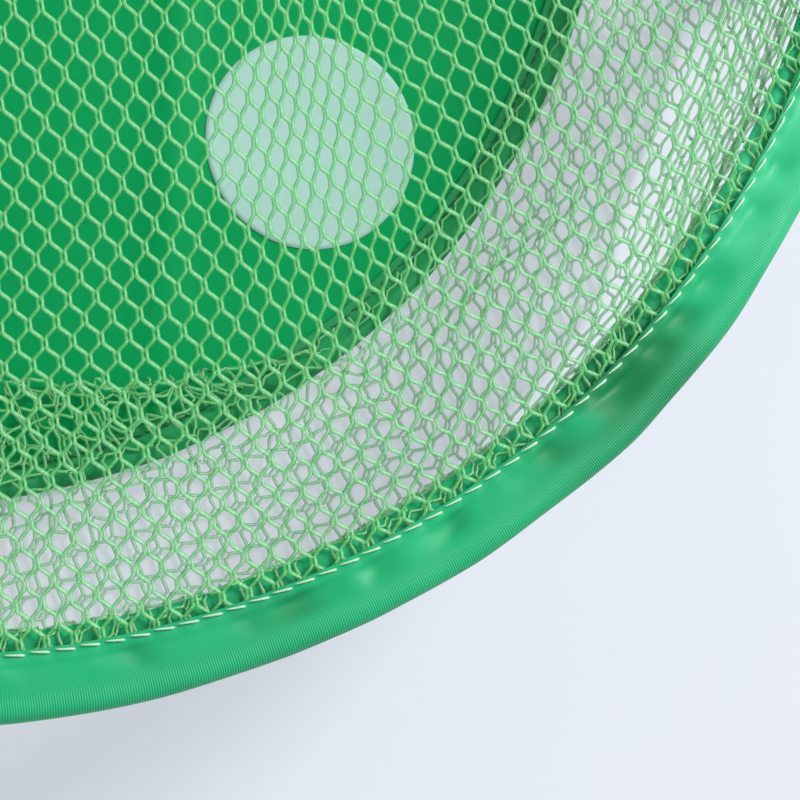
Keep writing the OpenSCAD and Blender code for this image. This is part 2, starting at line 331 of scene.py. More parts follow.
class ShaderBench:
    """Lays out a material's nodes. What its methods give is an output socket to build on."""

    def __init__(self, name: str) -> None:
        """Starts a material with one surface shader.

        Args:
            name: The material's name.
        """
        self.material = bpy.data.materials.new(name)
        self.material.use_nodes = True
        self.tree = self.material.node_tree
        self.tree.nodes.clear()
        out = self.tree.nodes.new("ShaderNodeOutputMaterial")
        self.surface = self.tree.nodes.new("ShaderNodeBsdfPrincipled")
        self.tree.links.new(self.surface.outputs["BSDF"], out.inputs["Surface"])
        self.coords = self.tree.nodes.new("ShaderNodeTexCoord")

    def plug(self, socket: Socket, value: Value) -> None:
        """Links or sets one input.

        Args:
            socket: The input.
            value: An output socket to link, or a value to set.
        """
        if isinstance(value, Socket):
            self.tree.links.new(value, socket)
        else:
            socket.default_value = value

    def add(self, kind: str, inputs: dict, **settings: str) -> bpy.types.Node:
        """Adds a node.

        Args:
            kind: Blender's name of the node type, without "ShaderNode".
            inputs: Values or sockets for the node's inputs, by name or number.
            **settings: Attributes of the node.

        Returns:
            The node.
        """
        node = self.tree.nodes.new("ShaderNode" + kind)
        for key, value in settings.items():
            setattr(node, key, value)
        for key, value in inputs.items():
            self.plug(node.inputs[key], value)
        return node

    def feed(self, **sockets: Value) -> None:
        """Sets or links the surface shader's inputs, with _ for a space in a name."""
        for key, value in sockets.items():
            self.plug(self.surface.inputs[key.replace("_", " ")], value)

    def places(self, source: str) -> Sequence[Socket]:
        """The separate places of a coordinate, "UV" or "Object"."""
        return self.add("SeparateXYZ", {0: self.coords.outputs[source]}).outputs

    def noise(self, scale: float, detail: float = 2.0) -> Socket:
        """Noise of a scale in repeats a metre."""
        return self.add("TexNoise", {"Vector": self.coords.outputs["Object"],
                                     "Scale": scale, "Detail": detail}).outputs["Fac"]

    def mark(self, name: str) -> Socket:
        """A number that the mesh holds for each point."""
        return self.add("Attribute", {}, attribute_name=name).outputs["Fac"]

    def ramp(self, value: Value, start: float, stop: float) -> Socket:
        """A smooth step from 0 to 1 between two values."""
        return self.add("MapRange", {"Value": value, "From Min": start, "From Max": stop},
                        interpolation_type="SMOOTHSTEP").outputs[0]

    def spread(self, value: Value, low: float, high: float) -> Socket:
        """Maps 0..1 to low..high."""
        return self.add("MapRange", {"Value": value, "To Min": low, "To Max": high}).outputs[0]

    def maths(self, operation: str, a: Value, b: Value = 0.0) -> Socket:
        """One sum of two values."""
        return self.add("Math", {0: a, 1: b}, operation=operation).outputs[0]

    def times(self, a: Value, b: Value) -> Socket:
        """Two values multiplied."""
        return self.maths("MULTIPLY", a, b)

    def wave(self, value: Value, period: float, start: Value = 0.0) -> Socket:
        """A sine from -1 to 1 with a period and a starting angle."""
        return self.maths("SINE", self.maths("ADD", self.times(value, TAU / period), start))

    def blend(self, factor: Value, first: Value, second: Value) -> Socket:
        """Mixes two colours."""
        return self.add("Mix", {"Factor": factor, 6: first, 7: second},
                        data_type="RGBA").outputs[2]

    def relief(self, height: Value, depth: float, strength: float, **under: Socket) -> Socket:
        """A bump of a depth in metres, over another one where Normal names it."""
        return self.add("Bump", {"Height": height, "Distance": depth, "Strength": strength,
                                 **under}).outputs["Normal"]


def shade(red: int, green: int, blue: int) -> tuple[float, float, float, float]:
    """A display colour of 0 to 255 a channel, as a linear one."""
    parts = [value / 255 for value in (red, green, blue)]
    return (*(part / 12.92 if part <= 0.04045 else ((part + 0.055) / 1.055) ** 2.4
              for part in parts), 1.0)


@dataclass(frozen=True)
class Finish:
    """A finish with a name and a main colour. Its kinds lay out their own shader."""

    name: str
    colour: tuple

    def build(self) -> bpy.types.Material:
        """Makes the material.

        Returns:
            The material, for one piece or more.
        """
        bench = ShaderBench(self.name)
        self.lay(bench)
        return bench.material


@dataclass(frozen=True)
class RibbedTape(Finish):
    """Satin tape with fine ribs across it, plainest by the seam.

    Its texture runs in millimetres along and across the tape. Its fold mark, from the height of
    the puckers, is painted as a lighter highlight where above 0 and as darker shade where below 0;
    the ribs' crests and hollows carry painted highlight and shade as well.
    """

    painted_highlight: tuple
    tone_and_painted_shade: tuple
    rib_pitch: float = 0.54
    rib_depth: float = 0.00002
    rib_painted_light_share: float = 0.46
    rib_start: float = 5.0
    rib_full: float = 12.0
    rib_stop: float = 24.0
    rib_fade: float = 3.0
    twill_pitch: float = 0.31
    painted_highlight_share: float = 0.45
    painted_shade_share: float = 0.85
    roughness: float = 0.47
    sheen: float = 0.08

    def lay(self, bench: ShaderBench) -> None:
        """Lays out the shader.

        Args:
            bench: The bench to lay it out on.
        """
        along, across, _ = bench.places("UV")
        plain = bench.spread(bench.ramp(across, self.rib_start, self.rib_full), 0.08, 1.0)
        under = bench.spread(bench.ramp(across, self.rib_stop, self.rib_stop + self.rib_fade),
                             1.0, 0.1)
        rib = bench.times(bench.wave(along, self.rib_pitch), bench.times(plain, under))
        twill = bench.wave(bench.maths("ADD", along, bench.times(across, 0.8)),
                           self.twill_pitch)
        fold = bench.mark("fold")
        tint = bench.blend(bench.spread(bench.noise(30.0, 3.0), 0.0, 0.25), self.colour,
                           self.tone_and_painted_shade)
        # Painted highlight on fold and rib crests, painted shade in fold and rib hollows.
        for height, sign, start, stop, share, colour in (
                (fold, 1.0, 0.1, 1.2, self.painted_highlight_share, self.painted_highlight),
                (fold, -1.0, 0.1, 1.2, self.painted_shade_share, self.tone_and_painted_shade),
                (rib, -1.0, -0.2, 1.0, self.rib_painted_light_share, self.tone_and_painted_shade),
                (rib, 1.0, 0.2, 1.0, self.rib_painted_light_share, self.painted_highlight)):
            part = bench.ramp(bench.times(height, sign), start, stop)
            tint = bench.blend(bench.times(part, share), tint, colour)
        soft = bench.relief(twill, 0.000012, 0.3)
        bench.feed(Base_Color=tint, Roughness=self.roughness, Sheen_Weight=self.sheen,
                   Sheen_Roughness=0.4, Specular_IOR_Level=0.3,
                   Normal=bench.relief(rib, self.rib_depth, 0.6, Normal=soft))


@dataclass(frozen=True)
class KnitYarn(Finish):
    """Smooth nylon yarn that lets some light through: pale on the cloth's two faces, with painted
    shade down its sides and, by its face mark, on the strands that lie away from the light, and
    with the loops of the knitting along it, painted lighter on their crests."""

    pale: tuple
    side: tuple
    lap: tuple
    loop_pitch: float = 1.05
    roughness: float = 0.36
    cover: float = 0.5

    def lay(self, bench: ShaderBench) -> None:
        """Lays out the shader.

        Args:
            bench: The bench to lay it out on.
        """
        along, across, _ = bench.places("UV")
        twist = bench.times(across, TAU)
        loop = bench.wave(along, self.loop_pitch, twist)
        flank_shade_share = bench.maths("ABSOLUTE", bench.maths("SINE", twist))
        tint = bench.blend(bench.spread(bench.noise(22.0), 0.0, 0.6), self.colour, self.pale)
        # Painted shade down the yarn's sides.
        tint = bench.blend(bench.ramp(flank_shade_share, 0.35, 1.0), tint, self.side)
        # Painted highlight on the crests of the loops.
        tint = bench.blend(bench.times(bench.ramp(loop, 0.0, 1.0), 0.25), tint, self.pale)
        # Painted shade on the strands that lie away from the light, by the face mark.
        tint = bench.blend(bench.mark("face"), self.lap, tint)
        bench.feed(Base_Color=tint, Roughness=self.roughness, Specular_IOR_Level=0.8,
                   Sheen_Weight=0.1, Alpha=self.cover,
                   Normal=bench.relief(loop, 0.00006, 0.5))


@dataclass(frozen=True)
class WovenCloth(Finish):
    """Plain woven cloth with soft creases, and a number of thread pairs a metre."""

    pale: tuple
    threads: float = 950.0
    crease_scale: float = 26.0
    crease_depth: float = 0.0009
    roughness: float = 0.5
    gloss: float = 0.35

    def lay(self, bench: ShaderBench) -> None:
        """Lays out the shader.

        Args:
            bench: The bench to lay it out on.
        """
        x, y, _ = bench.places("Object")
        weave = bench.times(bench.wave(x, 1 / self.threads), bench.wave(y, 1 / self.threads))
        tint = bench.blend(bench.spread(bench.noise(14.0), 0.0, 0.45), self.colour, self.pale)
        soft = bench.relief(bench.noise(self.crease_scale, 3.0), self.crease_depth, 0.6)
        bench.feed(Base_Color=tint, Roughness=self.roughness, Specular_IOR_Level=self.gloss,
                   Normal=bench.relief(weave, 0.00002, 0.4, Normal=soft))


@dataclass(frozen=True)
class SewingThread(Finish):
    """Two-ply thread with a slanting twist."""

    shadow: tuple
    twist_pitch: float = 0.55

    def lay(self, bench: ShaderBench) -> None:
        """Lays out the shader.

        Args:
            bench: The bench to lay it out on.
        """
        along, across, _ = bench.places("UV")
        ply = bench.wave(along, self.twist_pitch, bench.times(across, TAU))
        tint = bench.blend(bench.spread(ply, 0.22, 0.0), self.colour, self.shadow)
        bench.feed(Base_Color=tint, Roughness=0.5, Sheen_Weight=0.2,
                   Normal=bench.relief(ply, 0.00005, 0.5))


@dataclass(frozen=True)
class MouldedPlastic(Finish):
    """Moulded plastic or rubber with a fine spark-eroded grain and handling marks."""

    worn: tuple
    roughness: float = 0.45
    grain: float = 900.0

    def lay(self, bench: ShaderBench) -> None:
        """Lays out the shader.

        Args:
            bench: The bench to lay it out on.
        """
        wear = bench.noise(60.0, 4.0)
        bench.feed(Base_Color=bench.blend(bench.spread(wear, 0.0, 0.4), self.colour, self.worn),
                   Roughness=bench.spread(wear, self.roughness - 0.08, self.roughness + 0.12),
                   Normal=bench.relief(bench.noise(self.grain), 0.00005, 0.35))


@dataclass(frozen=True)
class DrawnSteel(Finish):
    """Steel wire, pins and tube with faint drawing lines."""

    stained: tuple
    roughness: float = 0.3

    def lay(self, bench: ShaderBench) -> None:
        """Lays out the shader.

        Args:
            bench: The bench to lay it out on.
        """
        stain = bench.noise(90.0, 4.0)
        tint = bench.blend(bench.spread(stain, 0.0, 0.3), self.colour, self.stained)
        bench.feed(Base_Color=tint, Metallic=1.0,
                   Roughness=bench.spread(stain, self.roughness - 0.06, self.roughness + 0.14),
                   Normal=bench.relief(bench.noise(1500.0), 0.00002, 0.3))


# ---- Nets ----

@dataclass(frozen=True)
class KnitPattern:
    """A knitted net of six-sided gaps, as strands that run in zigzag and pair up.

    Each strand runs along a side that it shares with one neighbour, crosses on a slant, and
    then shares the next side with the other neighbour. The lists give one value for each
    step along a row: the first five are on the shared side, the rest on the slant.
    """

    pitch: float = 5.68
    row: float = 4.74
    shared: float = 2.25
    node_gap: float = 0.37
    slit_gap: float = 0.52
    node_r: float = 0.53
    shared_r: float = 0.34
    front_r: float = 0.5
    lap_r: float = 0.43
    cross: float = 0.1
    shared_steps: int = 5
    share_at: tuple = (0, 0.24, 0.5, 0.76, 1, 1, 1, 1, 1)
    slant_at: tuple = (0, 0, 0, 0, 0, 0.2, 0.4, 0.6, 0.8)
    # Share of the lit colour against the painted shade at each step; strands of the other lean
    # take the rest.
    lit_share_at: tuple = (0.55, 0.85, 1, 0.9, 0.5, 0.1, 0, 0.05, 0.3)
    lift_at: tuple = (1, 0.5, 0, -0.5, -1, -0.6, -0.2, 0.2, 0.6)
    yarn_take: float = 1.15

    def strands(self, reach: float) -> tuple[Array, Array, Array, Array]:
        """Lays the strands out flat.

        Args:
            reach: Half the side of the square that they cover, in millimetres.

        Returns:
            Array (strand, point, 3) with the height in the last place, the radius of the yarn, its
            length coordinate, and its share of the lit colour against the painted shade.
        """
        half = self.pitch / 2
        count, rows = (int(reach / size) + 2 for size in (half, self.row))
        strand = np.arange(-count, count + 1)[:, None, None]
        row = np.arange(-rows, rows + 1)[None, :, None]
        step = np.arange(len(self.share_at))
        paired = step < self.shared_steps
        left = (strand + row) % 2 == 0
        toward = np.where(left, 1.0, -1.0)
        column, next_column = (np.where(near, strand, strand + 1) * half
                               for near in (left, ~left))
        share, slant, lit_share, lift = (np.array(line) for line in (
            self.share_at, self.slant_at, self.lit_share_at, self.lift_at))
        middle_gap = 0.25 * self.node_gap + 0.75 * self.slit_gap
        middle_r = 0.2 * self.node_r + 0.8 * self.shared_r
        gap, size = (np.array([node, middle, open_side, middle, node, 0, 0, 0, 0])
                     for node, middle, open_side in (
                         (self.node_gap, middle_gap, self.slit_gap),
                         (self.node_r, middle_r, self.shared_r)))
        bend = 0.55 * slant + 0.45 * smoothstep(slant)
        start = column + toward * self.node_gap
        stop = next_column - toward * self.node_gap
        u = np.where(paired, column + toward * gap, start + (stop - start) * bend)
        v = row * self.row + share * self.shared + slant * (self.row - self.shared)
        radius = np.where(paired, size, np.where(left, self.lap_r, self.front_r))
        # Painted light and shade by lean: one lean takes the lit colour where the other takes the
        # shade.
        face = np.where(left, lit_share, 1 - lit_share)
        flat = np.stack(np.broadcast_arrays(u, v, lift * toward * self.cross), -1)
        flat = flat.reshape(len(strand), -1, 3)
        along = np.arange(flat.shape[1]) * (self.row * self.yarn_take / len(step))
        shape = flat.shape[:2]
        return flat, radius.reshape(shape), np.broadcast_to(along, shape), face.reshape(shape)


def turned(flat: Array, angle: float) -> tuple[Array, Array]:
    """The first two places of an array of points, turned about the origin."""
    c, s = math.cos(angle), math.sin(angle)
    return flat[..., 0] * c - flat[..., 1] * s, flat[..., 0] * s + flat[..., 1] * c


@dataclass
class TopNet:
    """The playing net: flat, sewn in at the rim, pulled round a little on one side."""

    pattern: KnitPattern = field(default_factory=KnitPattern)
    reach: float = 265.0
    turn: float = math.radians(8.0)
    hem_r: float = 211.4
    rise: float = 0.45
    sway: float = 0.7
    sway_end: float = 204.0
    pull: float = 0.25
    band: tuple[float, float] = (62.0, 121.0)
    pivot_y: float = -166.0
    pull_height: float = 95.0
    swing: float = 0.27
    swing_x: float = 80.0
    crowd: float = 0.19
    crowd_y: float = -149.0
    wander: float = 0.5
    parts: int = 5

    def drag(self, x: Array, y: Array) -> tuple[Array, Array]:
        """Moves flat cloth points to where the uneven tension leaves them.

        Args:
            x: Places across.
            y: Places along.

        Returns:
            The moved places across and along.
        """
        share = self.pull * smoothstep((x - self.band[0]) / (self.band[1] - self.band[0]))
        height = self.pull_height * np.tanh(past(y - self.pivot_y, 18.0) / self.pull_height)
        height = height * (1 - smoothstep((y + 60) / 150))
        swung = self.swing * past(x - self.swing_x, 20.0) * (1 - smoothstep((y + 100) / 280))
        crowded = self.crowd * past(self.crowd_y - y, 16.0)
        aside, ahead = (self.wander * seeded_ripple(seed, 7, 160, 70)(x, y) for seed in (11, 12))
        return x - share * height + aside, y + swung + crowded + ahead

    def build(self) -> list[Piece]:
        """Makes the net in a few strips.

        Returns:
            The strips' objects.
        """
        flat, radius, along, face = self.pattern.strands(self.reach)
        x, y = self.drag(*turned(flat, self.turn))
        far = np.hypot(x, y)
        sway = self.sway * seeded_ripple(5, 6, 140, 70)(x, y)
        sway = sway * smoothstep((self.sway_end - far) / 60)
        lines = np.stack([x, y, PLAN.rim_z + self.rise + flat[..., 2] + sway], -1)
        up = np.broadcast_to([0.0, 0.0, 1.0], lines.shape)
        yarn = Threads(lines, up, radius, along, face, sides=4)
        return yarn.strips("top_net", far < self.hem_r, self.parts)


@dataclass
class SkirtNet:
    """The slack skirt, cut as a cone, sewn in at the rim and at the base ring."""

    pattern: KnitPattern = field(default_factory=lambda: KnitPattern(
        pitch=5.7, row=4.75, node_r=0.52, lap_r=0.45))
    turn: float = math.radians(28.0)
    cone: float = 0.6
    longest: float = 185.0
    belly: float = 6.6
    belly_turn: float = -54.5
    round_steps: int = 720
    down_steps: int = 170
    curve_steps: int = 9
    parts: int = 4
    split_r: float = 181.0
    split_z: float = 9.0
    floor_gap: float = 0.45
    crumple: float = 1.9
    shear: float = 1.1
    swell: float = 0.9
    # Where the slack's fold lies, as pairs of a direction in degrees and a radius
    fold_line: tuple = ((-88, 147), (-78, 149), (-67, 158), (-55, 168), (-46, 176), (-39, 183),
                        (-32, 192), (-20, 196), (5, 184), (35, 160), (60, 150), (95, 165),
                        (125, 190), (160, 194), (190, 176), (215, 156), (245, 152))

    def profiles(self) -> tuple[Array, Array]:
        """Lays out the skirt's surface.

        Returns:
            Array (round, down, 3) of radius, height and share of crumpling, and the length
            of the cloth down each line.
        """
        turn = np.arange(self.round_steps) * 360 / self.round_steps - 180
        tip = np.interp(turn, *np.array(self.fold_line, float).T, period=360)
        soft = np.hanning(41)
        tip = np.convolve(np.concatenate([tip[-20:], tip, tip[:20]]), soft / soft.sum(), "valid")
        out = np.clip(tip, 184.0, 192.0)
        tall = 3.6 + 1.2 * np.sin(np.radians(turn * 7)) + 0.7 * np.sin(np.radians(turn * 17))
        inward = smoothstep((177 - tip) / 9)[:, None]
        off = np.abs((turn - self.belly_turn + 45) % 90 - 45)
        out_r = 208.8 + self.belly * smoothstep((29 - off) / 9)
        seam = (PLAN.base_seam_r, 3.0)
        ridge = [seam, (172.5, 4.7), (175.9, 6.0), (179.6, 3.2), (out - 3.0, 1.5),
                 (out - 1.0, tall), (out + 1.0, tall), (out + 3.0, 1.5), (out + 4.5, 1.2)]
        pouch = [seam, ((seam[0] + tip) / 2, 2.7), (tip + 2, 2.5), (tip, 3.9),
                 (tip + 2, 5.2), ((tip + 172) / 2, 4.7), (172.0, 5.9), (176.6, 6.9),
                 (183.5, 2.4)]
        tail = [(out_r - 9.5, 1.3), (out_r - 3.2, 3.4), (out_r - 0.3, 11), (out_r, 26),
                (0.45 * out_r + 114.2, 50), (205.6, 68), (205.2, 73.2), (207.2, 74.5),
                (211.2, 74.5)]

        def column(pairs: list) -> Array:
            """Control points as an array (round, point, 2)."""
            one = np.ones_like(tip)
            return np.stack([np.stack([r * one, z * one], -1) for r, z in pairs], 1)

        def stretch(start: int, stop: int, blur: int) -> Array:
            """1 on a stretch of the line and 0 elsewhere, with soft ends."""
            place = np.arange(dense.shape[1])
            return np.convolve((place >= start) & (place < stop), np.ones(blur) / blur, "same")

        head = column(ridge) * (1 - inward[..., None]) + column(pouch) * inward[..., None]
        dense = self.spline(np.concatenate([head, column(tail)], 1), self.curve_steps)
        slack = stretch(self.curve_steps // 2, (len(ridge) - 1) * self.curve_steps, 9)
        steep = stretch((len(ridge) + 1) * self.curve_steps,
                        (len(ridge) + 6) * self.curve_steps, 15)
        grid = np.empty((self.round_steps, self.down_steps, 3))
        length = np.empty(self.round_steps)
        target = np.linspace(0, 1, self.down_steps)
        for k, line in enumerate(dense):
            run = run_along(line)
            length[k] = run[-1]
            loose = 0.07 + 0.93 * slack * inward[k] + 0.3 * steep
            for place, value in enumerate((*line.T, loose)):
                grid[k, :, place] = np.interp(target, run / run[-1], value)
        return grid, length

    @staticmethod
    def spline(control: Array, steps: int) -> Array:
        """Draws a smooth line through control points.

        Args:
            control: The points, as an array (row, point, 2) with one line a row.
            steps: Number of points from one control point to the next.

        Returns:
            The lines' points, as an array (row, point, 2).
        """
        p = np.concatenate([2 * control[:, :1] - control[:, 1:2], control,
                            2 * control[:, -1:] - control[:, -2:-1]], 1)
        t = (np.arange(steps) / steps)[None, :, None]
        pieces = []
        for k in range(control.shape[1] - 1):
            a, b, c, d = (p[:, k + n][:, None] for n in range(4))
            pieces.append(0.5 * (2 * b + (c - a) * t + (2 * a - 5 * b + 4 * c - d) * t ** 2
                                 + (3 * b - a - 3 * c + d) * t ** 3))
        return np.concatenate([*pieces, control[:, -1:]], 1)

    def build(self) -> tuple[list[Piece], Piece]:
        """Makes the skirt in a few strips, and its hem, which lies on the base ring.

        Returns:
            The strips' objects, and the hem's.
        """
        inner = PLAN.base_seam_r / self.cone
        flat, radius, along, face = self.pattern.strands(inner + self.longest)
        x, y = turned(flat, self.turn)
        crumple, shear, swell = (seeded_ripple(seed, 16, longest, shortest)(x, y)
                                 for seed, longest, shortest in (
                                     (21, 34, 9), (22, 34, 9), (23, 24, 8)))
        lap = np.arctan2(y, x) / self.cone
        grid, length = self.profiles()
        row_at = np.degrees(lap + PLAN.seam_turn) % 360 / 360 * self.round_steps
        cut = np.interp(row_at, np.arange(self.round_steps), length, period=self.round_steps)
        down = (np.hypot(x, y) - inner) / cut
        keep = (down > 0) & (down < 1) & (np.abs(lap) < math.pi)

        def sample(row: Array, column: Array) -> Array:
            """Reads the surface between its grid points.

            Args:
                row: Places round the grid.
                column: Places down the grid.

            Returns:
                Radius, height and share of crumpling there.
            """
            row = row % self.round_steps
            column = np.clip(column, 0, self.down_steps - 1.001)
            r0, c0 = np.floor(row).astype(int), np.floor(column).astype(int)
            fr, fc = (row - r0)[..., None], (column - c0)[..., None]
            first, after = (grid[r, c0] * (1 - fc) + grid[r, c0 + 1] * fc
                            for r in (r0 % self.round_steps, (r0 + 1) % self.round_steps))
            return first * (1 - fr) + after * fr

        column_at = down * (self.down_steps - 1)
        edge = smoothstep(down * 14) * smoothstep((1 - down) * 14)
        loose = sample(row_at, column_at)[..., 2] * edge
        row_at = row_at + shear * loose * self.shear
        column_at = column_at + crumple * loose * self.crumple
        here, ahead, behind = (sample(row_at, column_at + step) for step in (0, 0.8, -0.8))
        slope = unit(ahead[..., :2] - behind[..., :2])
        side = np.stack([-slope[..., 1], slope[..., 0]], -1)
        side *= np.where(side[..., 1:] < 0, -1, 1)
        push = flat[..., 2] + swell * loose * self.swell
        r = here[..., 0] + side[..., 0] * push
        z = np.maximum(here[..., 1] + side[..., 1] * push, self.floor_gap)
        turn = row_at / self.round_steps * TAU - math.pi
        yarn = Threads(on_ring(r, turn, z), unit(on_ring(side[..., 0], turn, side[..., 1])),
                       radius, along, face, sides=3)
        low = keep & (r < self.split_r) & (z < self.split_z)
        rest = keep & ~low
        touching = np.pad(low, ((0, 0), (1, 1)))
        low |= keep & (touching[:, :-2] | touching[:, 2:])
        return (yarn.strips("skirt_net", rest, self.parts),
                yarn.strip("skirt_hem", low, np.nonzero(low.any(1))[0]))


# ---- Tapes ----

def level(start: float, stop: float, height: float, steps: int) -> Array:
    """A level stretch of a tape's section, as radii and heights."""
    return np.stack([np.linspace(start, stop, steps), np.full(steps, height)], -1)


def rolled(centre: tuple, radius: float, start: float, stop: float, steps: int) -> Array:
    """A stretch of a tape's section that is rolled round a wire, as radii and heights."""
    arc = np.linspace(start, stop, steps)
    return np.array(centre) + radius * np.stack([np.cos(arc), np.sin(arc)], -1)


@dataclass
class RimTape:
    """The satin tape round the rim hoop, slack between its stitches and the wire."""

    steps: int = 1080
    flap_steps: int = 7
    slope_steps: int = 8
    roll_steps: int = 13
    seed: int = 41
    lifted: float = 0.6
    sewn_lift: float = 0.35
    ripple: float = 0.22
    tuck: float = 0.26
    tuck_out: float = 2.0
    tuck_in: float = 1.1
    edge_kink: float = 0.05
    # Share of the puckers' height painted as highlight on their crests and as shade in their
    # hollows.
    pucker_paint_share: float = 0.55
    # Folds that stand out, each with its direction, width in degrees, depth and slant
    folds: tuple = ((-80.6, 1.1, 0.6, 0.9), (-78.0, 1.0, -0.6, 1.2), (-74.3, 1.6, 0.6, 0.8),
                    (-71.4, 0.9, -0.4, 0.8), (-68.4, 1.7, -0.9, 0.8), (-65.0, 0.8, 0.6, 0.6),
                    (-62.8, 1.0, -1.0, -0.8), (-60.2, 1.0, 0.5, -0.6), (-57.4, 1.2, -1.3, -1.2),
                    (-54.4, 1.1, 0.5, -0.7), (-51.2, 1.0, -0.7, 0.9), (-48.6, 1.1, 0.7, 1.2),
                    (-45.4, 1.7, -1.6, 1.5), (-42.3, 0.9, -0.7, 1.1), (-39.7, 0.9, -0.8, 1.2),
                    (-36.9, 1.0, -0.8, 1.0), (-34.4, 0.9, 0.5, 0.8), (-31.6, 0.7, -0.5, 0.8),
                    (-28.6, 0.9, -0.8, 0.9), (-25.6, 0.9, 0.4, 0.6))
    # Where the outer edge bows off the wire, as pairs of a direction and a distance
    edge_line: tuple = ((-96, 0.3), (-86, 0.1), (-80, 0.0), (-76.5, 0.0), (-74, -0.4),
                        (-72, -0.5), (-69.5, -0.35), (-67.5, -0.4), (-64, -0.25), (-62, -0.35),
                        (-60, -0.15), (-58, 0.15), (-56, -0.05), (-54, -0.25), (-52, -0.1),
                        (-50, 0.3), (-48, 0.6), (-46, 0.85), (-44, 0.4), (-41, 0.4), (-38, 0.55),
                        (-36, 0.2), (-34, -0.35), (-31, -0.5), (-27, -0.3), (-22, 0.3),
                        (-16, 0.6))
    # Painted light and shade on the satin along the ring, as pairs of a direction and a share
    painted_light_line: tuple = ((-96, -0.2), (-76, -0.3), (-68, -0.45), (-62, 0.35), (-56, -0.05),
                       (-50, -0.6), (-43, -1.25), (-38, -0.1), (-33, 0.8), (-28, 1.0),
                       (-20, 0.5))
    line_end: float = 6.0

    def path(self) -> tuple[Array, Array]:
        """Lays out the tape's section.

        Returns:
            Points of the middle of the tape, as radius and height over the hoop, from its
            upper edge to its lower one, and for each the share of slack there.
        """
        start = np.array([PLAN.flat_out, PLAN.flap_z])
        away = start - [PLAN.hoop_r, 0]
        touch = math.atan2(away[1], away[0]) - math.acos(PLAN.rim_roll / np.linalg.norm(away))
        flap = level(PLAN.top_layer_in, PLAN.flat_out, PLAN.flap_z, self.flap_steps)
        roll = rolled((PLAN.hoop_r, 0), PLAN.rim_roll, touch, -touch, self.roll_steps)
        reach = np.linspace(0, 1, self.slope_steps + 2)[1:-1]
        slope = start + (roll[0] - start) * reach[:, None]
        under = level(PLAN.flat_out, PLAN.low_layer_in, -PLAN.flap_z, 4)
        hump = smoothstep((reach + 0.3) / 0.38) * (1 - smoothstep((reach - 0.14) / 0.7))
        upper_roll = np.arange(self.roll_steps) < self.roll_steps // 2 - 1
        parts = ((flap, 0.9 * smoothstep((flap[:, 0] - PLAN.stitch_r - 0.2) / 2.4)),
                 (slope, hump), (roll, 0.2 * upper_roll),
                 (slope[::-1] * [1, -1], -0.8 * hump[::-1]), (under, np.zeros(len(under))))
        path, slack = (np.concatenate(pieces) for pieces in zip(*parts))
        return path, slack

    def bulge(self, turn: Array, shift: Array) -> Array:
        """Adds up the puckers.

        Args:
            turn: Directions in degrees.
            shift: Places across the tape, from 0 at the seam to about 1 at the wire.

        Returns:
            Height of the puckers there.
        """
        draw = np.random.default_rng(self.seed)
        turns = np.arange(-23, 275, 3.2)
        others = [(a, draw.uniform(0.9, 1.5), draw.uniform(-1.4, 1.1), draw.uniform(-1.5, 1.5))
                  for a in turns + draw.uniform(-0.9, 0.9, len(turns))]
        wide = 0.7 + 0.6 * np.clip(shift, 0, 1.2)
        total = np.zeros(np.broadcast(turn, shift).shape)
        for middle, width, depth, slant in [*self.folds, *others]:
            away = (turn - middle - slant * shift + 180) % 360 - 180
            total += depth * np.exp(-(away / (width * wide)) ** 2)
        return total

    def follow(self, turn: Array, pairs: tuple, blur: Array, others: Array) -> tuple[Array, Array]:
        """Follows a line of directions and values, and other values beyond its ends.

        Args:
            turn: Directions in degrees.
            pairs: The line.
            blur: Steps in degrees over which the line is averaged.
            others: The other values.

        Returns:
            The values, and 1 where the line holds.
        """
        angle, value = np.array(pairs, float).T
        known = np.mean([np.interp(turn + step, angle, value) for step in blur], axis=0)
        inside = (smoothstep((turn - angle[0]) / self.line_end)
                  * smoothstep((angle[-1] - turn) / self.line_end))
        return known * inside + others * (1 - inside), inside

    def outline(self, turn: Array) -> Array:
        """Follows the outer edge.

        Args:
            turn: Directions in degrees.

        Returns:
            How far the edge stands off the wire there.
        """
        others = 0.45 + 0.4 * seeded_ripple(44, 6, 120, 45)(np.radians(turn) * PLAN.hoop_r, 0.0)
        stand, inside = self.follow(turn, self.edge_line, np.linspace(-0.9, 0.9, 7), others)
        return np.clip(stand, -0.1 - 0.4 * inside, 1.3)

    def painted_light_along(self, turn: Array) -> Array:
        """Painted light above 0 and painted shade below 0 on the satin at a direction in degrees,
        from -1 to 1.
        """
        others = 0.45 * seeded_ripple(46, 6, 260, 90)(np.radians(turn) * PLAN.hoop_r, 0.0)
        return self.follow(turn, self.painted_light_line, np.linspace(-2.4, 2.4, 9), others)[0]

    def build(self) -> Piece:
        """Makes the tape as one closed skin.

        Returns:
            The tape's object.
        """
        path, slack = self.path()
        turn = (np.arange(self.steps) / self.steps * 360 - 180)[:, None]
        beyond = path[:, 0] - PLAN.stitch_r
        shift = (beyond / 10)[None]
        pucker = self.bulge(turn, shift)
        ripple = seeded_ripple(43, 9, 34, 12)(np.radians(turn) * PLAN.stitch_r, shift * 12)
        lift = pucker + self.ripple * ripple
        lift = np.where(lift > 0, self.lifted * lift, lift)
        sewn = 1 - smoothstep((path[:, 0] - PLAN.flat_out + 1.3) / 1.5)
        lift = (np.maximum(lift + self.sewn_lift, 0) * sewn + lift * (1 - sewn)) * slack
        near = beyond / np.where(beyond > 0, self.tuck_out, self.tuck_in)
        stitches = Stitches.count(PLAN.stitch_r, PLAN.stitch_pitch)
        tuck = 0.12 + self.tuck * np.cos(np.radians(turn) * stitches)
        lift = lift - 0.6 * tuck * np.exp(-near ** 2)
        kink = self.outline(turn) + self.edge_kink * self.bulge(turn, np.full_like(turn, 1.2))
        outer = smoothstep((path[:, 0] - PLAN.flat_out) / 9)
